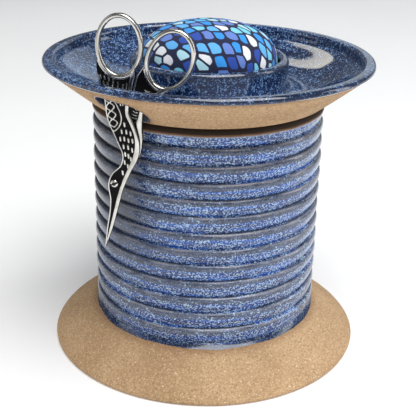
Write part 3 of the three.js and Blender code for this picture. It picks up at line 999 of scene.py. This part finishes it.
def band_height(xy, inner, outer):
    """A rounded band between two edge curves: 1 - u squared to the power 0.7, with u from -1 to 1 across it."""
    x, y = xy.T
    low, high = curve(inner, y), curve(outer, y)
    u = (2 * x - low - high) / np.maximum(high - low, 0.2)
    return np.clip(1 - u**2, 0, 1) ** 0.7


def edge_bead(xy, table, width, side):
    """A thin bead just inside an edge curve: a half circle across its width."""
    x, y = xy.T
    slope = (curve(table, y + 0.2) - curve(table, y - 0.2)) / 0.4
    depth = side * (curve(table, y) - x) / np.hypot(1, slope)
    return np.sqrt(np.clip(1 - ((depth - width) / width) ** 2, 0, 1))


WING_FOLDS = [
    [(-5.2, 48.5), (-4.6, 43.5), (-3.4, 39)],
    [(-7.8, 49), (-6.8, 44.5), (-4.4, 38.6)],
    [(-3.6, 49.5), (-3.3, 44)],
]


def front_relief(xy):
    """Spine band, edge bead, feathers on the body, and a braided wing with rows of short feathers over it."""
    y = xy[:, 1]
    height = band_height(xy, FRONT_BAND, FRONT_RIGHT) * 1.15
    height = np.maximum(height, 0.75 * edge_bead(xy, FRONT_LEFT, 0.36, -1) * (y < 50))
    for x0, y0 in FEATHERS:
        height = np.maximum(height, 0.85 * ridge(xy, feather(x0, y0), 0.5))
    height = np.maximum(height, 0.8 * ridge(xy, smooth_path(WING_EDGE, 60), 0.36))
    for phase in (0.0, np.pi):
        strand = braid((-5.4, 27.6), (-13.2, 46.5), 2.6, 1.9, phase)
        height = np.maximum(height, 0.8 * ridge(xy, strand, 0.38))
    for path in WING_FOLDS:
        height = np.maximum(height, 0.7 * ridge(xy, smooth_path(path, 12), 0.34))
    for row in range(4):
        for k in range(3):
            x0, y0 = -17.3 + 2.0 * k + 0.9 * (row % 2) + 0.9 * (3 - row), 54.5 - 2.6 * row
            height = np.maximum(height, 0.75 * ridge(xy, feather(x0, y0, 0.7), 0.42))
    return height


def back_relief(xy):
    """The right edge band, and short ridges across the tail."""
    height = band_height(xy, BACK_BAND, BACK_RIGHT) * 1.1
    height = np.maximum(height, 0.7 * edge_bead(xy, BACK_LEFT, 0.34, -1) * (xy[:, 1] > 40))
    for k in range(11):
        y0 = 33.6 + 1.5 * k
        x0 = 2.2 + 0.04 * k**2
        stroke = [(x0 - 0.9, y0 + 0.5), (x0 + 0.2, y0), (x0 + 1.3, y0 + 0.3)]
        height = np.maximum(height, 0.7 * ridge(xy, stroke, 0.36))
    return height


def rear_relief(xy):
    """The back half's rear face: a bead along both edges and a row of feathers midway between them."""
    height = np.maximum(edge_bead(xy, BACK_LEFT, 0.5, -1), edge_bead(xy, BACK_RIGHT, 0.5, 1))
    y = -8 + 3.4 * np.arange(14)
    for x0, y0 in zip((curve(BACK_LEFT, y) + curve(BACK_RIGHT, y)) / 2, y):
        height = np.maximum(height, 0.8 * ridge(xy, feather(x0, y0), 0.45))
    return height


HANDLE_HALF_THICKNESS = 1.7
EDGE_ROUNDING = 0.4
EDGE_DROP = 0.45
FRONT_GROUND = 0.42  # how far the ground between the front ornaments is sunk
REAR_GROUND = 0.3


def half_body(name, left, right, low, high, front, rear):
    """One scissor half: at each y a flat section with rounded edges between two edge curves, low to high in z.

    Round the section, the points run over the front face from left to right and back over the rear face. The
    ground is sunk, and relief of height 1 comes up to the full thickness. Over the pivot's plane the blade's
    thickness grows by a smooth step into the handle's.
    """
    y = np.concatenate([np.linspace(-34.9, 40.8, 250), np.linspace(41.2, 43.2, 8), np.linspace(43.5, 61, 56)])
    xl, xr = curve(left, y)[:, None], curve(right, y)[:, None]
    round_edge = np.minimum(EDGE_ROUNDING, (xr - xl) / 2.2)
    across = np.linspace(0, 1, 60)
    quarter = np.sin(np.linspace(-np.pi / 2, np.pi / 2, 60)) * 0.5 + 0.5
    across = (0.75 * across + 0.25 * quarter)[None, :]
    x = xl + (xr - xl) * across
    edge = np.minimum(x - xl, xr - x) / round_edge
    drop = (1 - np.sqrt(np.clip(1 - (1 - np.clip(edge, 0, 1)) ** 2, 0, 1))) * EDGE_DROP
    thick = smoothstep(y, 41.2, 43.2)[:, None]
    bottom = low + (-HANDLE_HALF_THICKNESS - low) * thick
    top = high + (HANDLE_HALF_THICKNESS - high) * thick
    yy = y[:, None] + 0 * x
    xy = np.stack([x, yy], -1).reshape(-1, 2)
    sunk_front = FRONT_GROUND * (1 - front(xy).reshape(x.shape))
    sunk_rear = REAR_GROUND * (1 - rear(xy).reshape(x.shape)) if rear else 0
    face = np.stack([x, yy, top - sunk_front - drop], -1)
    under = np.stack([x, yy, bottom + sunk_rear + drop], -1)[:, ::-1]
    return tube(name, to_world(np.concatenate([face, under[:, 1:-1]], 1))[:, ::-1])


def ring_sections(side):
    """A rounded band carried round a tilted ellipse: the section is offset along the ellipse's normal."""
    width, half = 2.3, 1.5
    centre = np.array([-10.7, 65.2]) if side < 0 else np.array([13.5, 65.2])
    a, b = 11.4 - width / 2, 15 - width / 2
    t = np.linspace(0, 2 * np.pi, 120, endpoint=False)[:, None]
    normal = np.stack([b * np.cos(t), a * np.sin(t)], -1)
    normal /= np.linalg.norm(normal, axis=-1, keepdims=True)
    s = np.linspace(0, 2 * np.pi, 28, endpoint=False)[None, :]
    out = width / 2 * np.sign(np.cos(s)) * np.abs(np.cos(s)) ** 0.85
    path = np.stack([a * np.cos(t), b * np.sin(t)], -1) + normal * out[..., None]
    tilt = np.radians(-side * 10)
    turn = np.array([[np.cos(tilt), np.sin(tilt)], [-np.sin(tilt), np.cos(tilt)]])
    flat = path @ turn + centre
    z = half * np.sign(np.sin(s)) * np.abs(np.sin(s)) ** 0.85 + 0 * t
    return np.concatenate([flat, z[..., None]], -1)


def ring_middle(side):
    """The line along the middle of the ring's band, seen from the front."""
    return ring_sections(side).mean(1)[:, :2]


def hole_cutter(side):
    """An upright oval cylinder through the middle of the ring's band."""
    middle = ring_middle(side)
    rows = [np.column_stack([middle, np.full(len(middle), z)]) for z in (-6.0, 6.0)]
    return tube("hole_cutter", to_world(np.array(rows)))


def make_half(name, side, *body):
    """The body with the finger hole cut through its handle, and the ring round the hole."""
    obj = half_body(name, *body)
    cut(obj, hole_cutter(side))
    ring = tube(name + "_ring", to_world(ring_sections(side)), wrap=True)
    return join(obj, ring)


SCREW_FACE = 2.05  # from the pivot's plane to the underside of the head
SCREW_HEAD_RADIUS = 1.95
SCREW_SLOT_TURN = 35
SCREW_SLOT_DEPTH = 0.5


class CADDY_OT_scissors(bpy.types.Operator):
    """Make both scissor halves and the pivot screw"""

    bl_idname = "caddy.scissors"
    bl_label = "Stork scissors"

    def execute(self, context):
        material = antique_finish(finish_colours(context))
        front = make_half("scissor_front_cast", -1, FRONT_LEFT, FRONT_RIGHT, 0.15, 1.85, front_relief, None)
        back = make_half("scissor_back_cast", 1, BACK_LEFT, BACK_RIGHT, -1.75, -0.15, back_relief, rear_relief)
        for obj, side, relief, body, node in (
            (front, -1, front_relief, "scissor_front", "scissor_front_half"),
            (back, 1, back_relief, "scissor_back", "scissor_back_half"),
        ):
            local = to_scissors(points_of(obj))
            band = ring_middle(side)
            on_ring = (ridge(local[:, :2], np.vstack([band, band[:1]]), 1.3) > 0.05) & (local[:, 1] > 49)
            normal = np.empty(len(obj.data.vertices) * 3)
            obj.data.vertices.foreach_get("normal", normal)
            facing = normal.reshape(-1, 3) @ SCISSOR_AXES[2]
            polish = np.where(facing > 0, relief(local[:, :2]), 0.15)
            if side > 0:
                polish = np.where(facing < -0.3, rear_relief(local[:, :2]), polish)
            # Painted shade: on the rings, faces turned sideways are painted black between the bright front and back
            # faces, as shade and dark reflection.
            polish = np.where(on_ring, 0.35 + 0.65 * smoothstep(np.abs(facing), 0.1, 0.55), polish)
            attribute(obj, "polish", np.clip(polish, 0, 1))
            smooth(obj, 50)
            declare(obj, body, material, node)
        self.screw()
        return {"FINISHED"}

    def screw(self):
        """The head is a low dome with a slot pressed into it; the other end is peened flat."""
        face, head = SCREW_FACE, SCREW_HEAD_RADIUS
        dome_r = np.linspace(1, 0, 22)[:-1] * head
        rise = 0.75 * (1 - (dome_r / head) ** 5) - 0.3 * (1 - dome_r / head)
        profile = np.vstack(
            [
                [[0, -face - 0.6]],
                line((0.4, -face - 0.6), (1.4, -face - 0.6), 4),
                line((1.9, -face - 0.1), (1.9, -face), 2),
                line((1.2, -face), (1.2, face), 8),
                line((1.9, face), (head, face + 0.05), 2),
                np.stack([dome_r, face + 0.15 + rise], -1),
                [[0, face + 0.6]],
            ]
        )
        obj = revolve("pivot_screw_turned", profile, 72)
        points = points_of(obj)
        turn = np.radians(SCREW_SLOT_TURN)
        across = np.abs(-points[:, 0] * np.sin(turn) + points[:, 1] * np.cos(turn))
        in_slot = (1 - smoothstep(across, 0.3, 0.42)) * (points[:, 2] > face + 0.12)
        points[:, 2] -= in_slot * SCREW_SLOT_DEPTH * (points[:, 2] > face + 0.3)
        obj.data.vertices.foreach_set("co", (to_world(points) * MM).ravel())
        obj.data.update()
        # Painted reflection: a bright ring round the head with a darker middle. Painted shade: the slot is dark.
        outer = smoothstep(np.hypot(*points[:, :2].T), 0.85, 1.25)
        attribute(obj, "polish", (1 - in_slot) * (0.3 + 0.7 * outer))
        smooth(obj, 40)
        declare(obj, "scissor_back", screw_finish(), "scissor_pivot_screw")


# ---- colours ----
def colour_property(name, description, default):
    return bpy.props.FloatVectorProperty(
        name=name, description=description, default=default, subtype="COLOR", min=0, max=1
    )


class CaddyFinish(bpy.types.PropertyGroup):
    glaze_deep: colour_property("Deep blue", "Jar glaze where it pools", (0.008, 0.03, 0.17))
    glaze_blue: colour_property("Floating blue", "Jar glaze on the ribs", (0.022, 0.12, 0.52))
    glaze_thin: colour_property("Breaking brown", "Jar glaze where it runs thin", (0.046, 0.056, 0.088))
    glaze_grey: colour_property("Blue grey", "Jar glaze between thin and pooled", (0.12, 0.155, 0.245))
    glaze_fleck: colour_property("Pale flecks", "Rutile flecks in the jar glaze", (0.5, 0.68, 0.84))
    # Painted shade: the dark colour laid over the jar's left side.
    glaze_slate: colour_property("Slate", "Jar glaze on the darker side", (0.014, 0.021, 0.032))
    # Painted shade in the jar's grooves and on the lid's slot walls, and the real dark line where the jar's glaze
    # ends at the foot.
    glaze_groove: colour_property("Groove", "Glaze in the grooves", (0.012, 0.016, 0.035))
    # The pale line where the glaze ends, and the painted highlight on the jar ribs' upper shoulders.
    glaze_pale: colour_property("Edge line", "Pale line where the glaze ends", (0.34, 0.33, 0.37))
    dish_deep: colour_property("Dish navy", "Dark of the dish glaze", (0.006, 0.013, 0.045))
    dish_blue: colour_property("Dish blue", "Middle blue of the dish glaze", (0.013, 0.042, 0.16))
    dish_fleck: colour_property("Dish flecks", "Pale mottling of the dish glaze", (0.24, 0.4, 0.62))
    print_line: colour_property("Print outline", "Outlines of the printed pebbles", (0.006, 0.01, 0.05))
    print_white: colour_property("Print white", "White pebbles", (0.92, 0.95, 0.98))
    print_pale: colour_property("Print pale aqua", "Pale aqua pebbles", (0.48, 0.8, 0.92))
    print_aqua: colour_property("Print aqua", "Aqua pebbles", (0.22, 0.7, 0.93))
    print_sky: colour_property("Print sky", "Sky blue pebbles", (0.13, 0.49, 0.95))
    print_azure: colour_property("Print azure", "Azure pebbles", (0.03, 0.33, 0.88))
    print_periwinkle: colour_property("Print periwinkle", "Violet blue pebbles", (0.14, 0.25, 0.68))
    print_royal: colour_property("Print royal", "Royal blue pebbles", (0.018, 0.075, 0.43))
    clay_dark: colour_property("Clay dark", "Darker clouds of the clay", (0.44, 0.275, 0.14))
    clay_light: colour_property("Clay light", "Paler clouds of the clay", (0.57, 0.375, 0.205))
    clay_dark_grit: colour_property("Dark grit", "Dark grains in the clay", (0.27, 0.155, 0.075))
    clay_pale_grit: colour_property("Pale grit", "Pale grains in the clay", (0.74, 0.53, 0.33))
    clay_sparkle: colour_property("Sparkle", "The brightest grains", (0.95, 0.82, 0.64))
    # Real toast at the foot and on the lid. At the jar's rim it is partly painted shade under the lid.
    clay_toast: colour_property("Toast", "Clay browned by the fire next to the glaze", (0.2, 0.088, 0.033))
    # Painted shadow: near black on the clay of the jar's mouth, for the shade in the gap under the lid.
    clay_scorch: colour_property("Scorch", "Clay next to the jar's mouth", (0.02, 0.011, 0.006))
    steel_bright: colour_property("Steel bright", "Polished steel of the scissors", (0.8, 0.785, 0.75))
    steel_worn: colour_property("Steel worn", "Duller clouds of the steel", (0.55, 0.53, 0.49))
    steel_black: colour_property("Steel black", "The blackened ground of the relief", (0.004, 0.004, 0.005))


def finish_colours(context):
    """The panel's colours by name."""
    finish = context.scene.caddy_finish
    return {name: tuple(getattr(finish, name)) for name in CaddyFinish.__annotations__}


# ---- the stage ----
AIM = (0, 0, 0.08)
LIGHTS = (  # name, place, breadth and height in metres, watts, colour
    ("window_left", (-1.1, -0.1, 0.45), (0.5, 1.1), 1.3, (1.0, 0.985, 0.96)),
    ("window_right", (1.0, 0.1, 0.4), (0.25, 0.9), 1.9, (0.97, 0.985, 1.0)),
    ("overhead", (0.38, -0.62, 1.75), (1.5, 1.5), 41.0, (1.0, 1.0, 1.0)),
    ("far_window", (-0.25, 0.9, 0.93), (0.1, 0.42), 0.42, (1.0, 0.95, 0.82)),
    ("far_wall", (0.5, 1.17, 0.66), (1.0, 0.7), 1.3, (0.8, 0.9, 1.0)),
)
STUDIO_COLOUR, STUDIO_STRENGTH = (0.94, 0.97, 1.0, 1), 0.16
FLOOR_SIDE, FLOOR_LEVEL, FLOOR_GLOW = 3000, -0.4, 0.14
CAMERA_PLACE = (0, -0.46035, 0.26429)
CAMERA_YAW, CAMERA_PITCH, CAMERA_ROLL = 0.0021, 0.3972, 0.0204
SENSOR = 36
FOCAL_LENGTH = 2.18096 * SENSOR


class CADDY_OT_stage(bpy.types.Operator):
    """Add the pale floor, the studio light and the camera"""

    bl_idname = "caddy.stage"
    bl_label = "Stage"

    def execute(self, context):
        scene = context.scene
        corners = [(-1, -1), (1, -1), (1, 1), (-1, 1)]
        points = [(x * FLOOR_SIDE, y * FLOOR_SIDE, FLOOR_LEVEL) for x, y in corners]
        floor = put_object("floor", np.array(points, float), [[0, 1, 2, 3]])
        glow = {"Emission_Color": (1.0, 1.0, 1.0, 1.0), "Emission_Strength": FLOOR_GLOW}
        f = Finish("pale_floor", Roughness=0.7, **glow)
        f.feed(Base_Color=f.mix(f.noise(f.place(), 3.0).ramp(0.3, 0.7), (0.86, 0.86, 0.86), (0.9, 0.9, 0.9)))
        floor.data.materials.append(f.material)
        scene.world = bpy.data.worlds.new("studio")
        scene.world.use_nodes = True
        background = scene.world.node_tree.nodes["Background"]
        background.inputs["Color"].default_value = STUDIO_COLOUR
        background.inputs["Strength"].default_value = STUDIO_STRENGTH
        scene.view_settings.view_transform = "Standard"
        for name, place, size, energy, colour in LIGHTS:
            light = bpy.data.lights.new(name, "AREA")
            light.shape, light.size, light.size_y = "RECTANGLE", *size
            light.energy, light.color = energy, colour
            lamp = bpy.data.objects.new(name, light)
            lamp.location = place
            lamp.rotation_euler = (Vector(AIM) - Vector(place)).to_track_quat("-Z", "Y").to_euler()
            lamp.visible_camera = False
            scene.collection.objects.link(lamp)
        self.camera(scene)
        return {"FINISHED"}

    def camera(self, scene):
        """Looks at the caddy from the front and above, turned by the yaw, pitch and roll."""
        data = bpy.data.cameras.new("camera")
        data.sensor_width = data.sensor_height = SENSOR
        data.lens = FOCAL_LENGTH
        data.clip_start, data.clip_end = 0.01, 20
        camera = bpy.data.objects.new("camera", data)
        level = np.cos(CAMERA_PITCH)
        forward = Vector((np.sin(CAMERA_YAW) * level, np.cos(CAMERA_YAW) * level, -np.sin(CAMERA_PITCH)))
        right = Vector((np.cos(CAMERA_YAW), -np.sin(CAMERA_YAW), 0))
        up = right.cross(forward)
        rolled_right = right * np.cos(CAMERA_ROLL) + up * np.sin(CAMERA_ROLL)
        rolled_up = up * np.cos(CAMERA_ROLL) - right * np.sin(CAMERA_ROLL)
        basis = Matrix((rolled_right, rolled_up, -forward)).transposed().to_4x4()
        camera.matrix_world = Matrix.Translation(CAMERA_PLACE) @ basis
        scene.collection.objects.link(camera)
        scene.camera = camera


class CADDY_PT_panel(bpy.types.Panel):
    """Lists the caddy's sizes, colours and pieces"""

    bl_idname = "CADDY_PT_panel"
    bl_label = "Sewing caddy"
    bl_space_type = "VIEW_3D"
    bl_region_type = "UI"
    bl_category = "Caddy"

    def draw(self, context):
        layout = self.layout
        for key, group in GROUPS.items():
            box = layout.box()
            for name in group.__annotations__:
                box.prop(getattr(context.scene, key), name)
        for operator in OPERATORS:
            layout.operator(operator.bl_idname)


OPERATORS = (CADDY_OT_jar, CADDY_OT_lid, CADDY_OT_cushion, CADDY_OT_scissors, CADDY_OT_stage)
GROUPS = {
    "caddy_jar": CaddyJarSizes,
    "caddy_lid": CaddyLidSizes,
    "caddy_cushion": CaddyCushionSizes,
    "caddy_finish": CaddyFinish,
}
CLASSES = (*GROUPS.values(), *OPERATORS, CADDY_PT_panel)


def register():
    for cls in CLASSES:
        bpy.utils.register_class(cls)
    for key, group in GROUPS.items():
        setattr(bpy.types.Scene, key, bpy.props.PointerProperty(type=group))


def unregister():
    for key in GROUPS:
        delattr(bpy.types.Scene, key)
    for cls in reversed(CLASSES):
        bpy.utils.unregister_class(cls)


def main():
    register()
    bpy.ops.caddy.jar()
    bpy.ops.caddy.lid()
    bpy.ops.caddy.cushion()
    bpy.ops.caddy.scissors()
    bpy.ops.caddy.stage()


if __name__ == "__main__":
    main()
